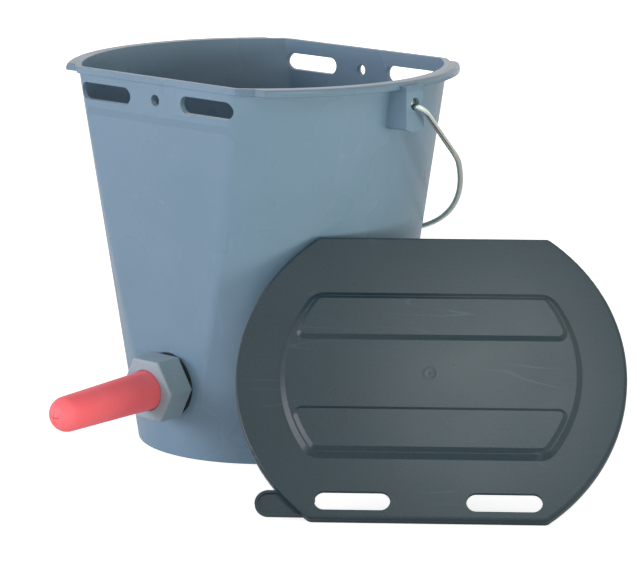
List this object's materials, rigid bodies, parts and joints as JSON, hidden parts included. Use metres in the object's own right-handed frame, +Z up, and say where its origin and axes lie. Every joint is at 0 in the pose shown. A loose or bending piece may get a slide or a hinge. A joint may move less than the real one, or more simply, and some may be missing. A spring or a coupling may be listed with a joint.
{
  "type": "calf teat bucket",
  "caption": "Tapered plastic bucket with two flat and two round sides, a red rubber teat on a screwed valve, a swinging wire bail and a leaning lid.",
  "frame": {"origin": "centre of the bucket's base, on the surface that it stands on", "axes": "+Z up, -Y out of the flat side that carries the teat, +X towards the right-hand ear"},
  "size_m": [0.4774, 0.3131, 0.271],
  "materials": {
    "tub_plastic": "satin moulded polypropylene, blue grey",
    "lid_plastic": "satin moulded polypropylene, dark slate",
    "nut_plastic": "satin moulded, mid grey",
    "valve_plastic": "satin moulded, mid grey",
    "plated_wire": "zinc plated, faintly yellow",
    "teat_rubber": "soft red rubber, satin",
    "seal_rubber": "black rubber, matt",
    "ball_plastic": "white, smooth"
  },
  "bodies": {
    "bucket": {"bucket_shell": "tub_plastic", "valve_body": "valve_plastic", "inner_gasket": "seal_rubber", "outer_gasket": "seal_rubber", "ball_stop": "valve_plastic"},
    "bail": {"bail_handle": "plated_wire"},
    "lid": {"lid": "lid_plastic"},
    "ball": {"valve_ball": "ball_plastic"},
    "teat": {"teat": "teat_rubber"},
    "nut": {"union_nut": "nut_plastic"}
  },
  "joints": [
    {"name": "bail_swing", "type": "hinge", "parent": "bucket", "child": "bail", "pos_m": [0, 0, 0.2543], "axis": [1, 0, 0], "range_deg": [0, 274.5]},
    {"name": "lid_lift", "type": "slide", "parent": "bucket", "child": "lid", "axis": [0.5032, -0.585, 0.6361], "range_m": [0, 0.3]},
    {"name": "ball_float", "type": "slide", "parent": "bucket", "child": "ball", "axis": [0, 0.9987, 0.0501], "range_m": [0, 0.004]},
    {"name": "teat_draw", "type": "slide", "parent": "bucket", "child": "teat", "axis": [0, -0.9987, -0.0501], "range_m": [0, 0.01]},
    {"name": "nut_turn", "type": "hinge", "parent": "teat", "child": "nut", "pos_m": [0, -0.09425, 0.053], "axis": [0, -0.9987, -0.0501], "range_deg": [0, 720]}
  ],
  "couplings": [
    {"joint": "teat_draw", "follows": "nut_turn", "m_per_rad": 0.000795}
  ]
}
